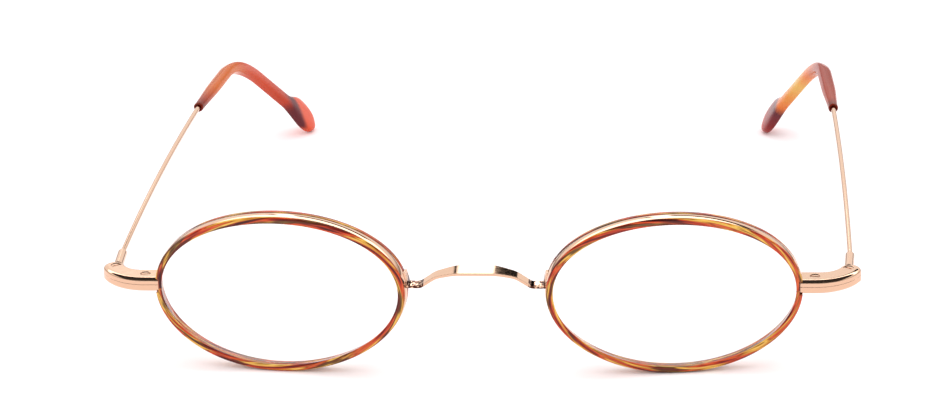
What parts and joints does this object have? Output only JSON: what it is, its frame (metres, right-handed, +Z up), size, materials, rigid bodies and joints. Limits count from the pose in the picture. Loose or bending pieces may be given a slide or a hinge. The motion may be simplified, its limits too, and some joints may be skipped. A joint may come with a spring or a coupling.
{
  "type": "eyeglasses",
  "caption": "Oval full-rim eyeglasses with grooved acetate rims on metal eyewires, a saddle bridge, screwed end pieces, folding wire temples and bent acetate tips.",
  "frame": {"origin": "on the surface that the open glasses stand on, midway between left and right and midway between the front and the ends of the temples", "axes": "+X towards the right side of the front as seen from in front of it, +Y from the front back along the temples, +Z up"},
  "size_m": [0.1368, 0.1499, 0.0301],
  "materials": {
    "frame_metal": "polished rose gold",
    "screw_metal": "polished",
    "rim_acetate": "polished tortoise acetate",
    "tip_acetate": "polished tortoise acetate",
    "lens_clear": "clear, polished"
  },
  "bodies": {
    "front": {"bridge": "frame_metal", "right_rim_ring": "rim_acetate", "right_eyewire": "frame_metal", "right_lens": "lens_clear", "right_end_piece_upper": "frame_metal", "right_end_piece_lower": "frame_metal", "right_closing_screw": "screw_metal", "right_hinge_screw": "screw_metal", "left_rim_ring": "rim_acetate", "left_eyewire": "frame_metal", "left_lens": "lens_clear", "left_end_piece_upper": "frame_metal", "left_end_piece_lower": "frame_metal", "left_closing_screw": "screw_metal", "left_hinge_screw": "screw_metal"},
    "right_temple": {"right_temple_ferrule": "frame_metal", "right_temple_wire": "frame_metal", "right_temple_tip": "tip_acetate"},
    "left_temple": {"left_temple_ferrule": "frame_metal", "left_temple_wire": "frame_metal", "left_temple_tip": "tip_acetate"}
  },
  "joints": [
    {"name": "right_temple_hinge", "type": "hinge", "parent": "front", "child": "right_temple", "pos_m": [0.06615, -0.06159, 0.01541], "axis": [0, -0.075, 0.9972], "range_deg": [0, 70]},
    {"name": "left_temple_hinge", "type": "hinge", "parent": "front", "child": "left_temple", "pos_m": [-0.06615, -0.06159, 0.01541], "axis": [0, 0.075, -0.9972], "range_deg": [0, 84]}
  ]
}
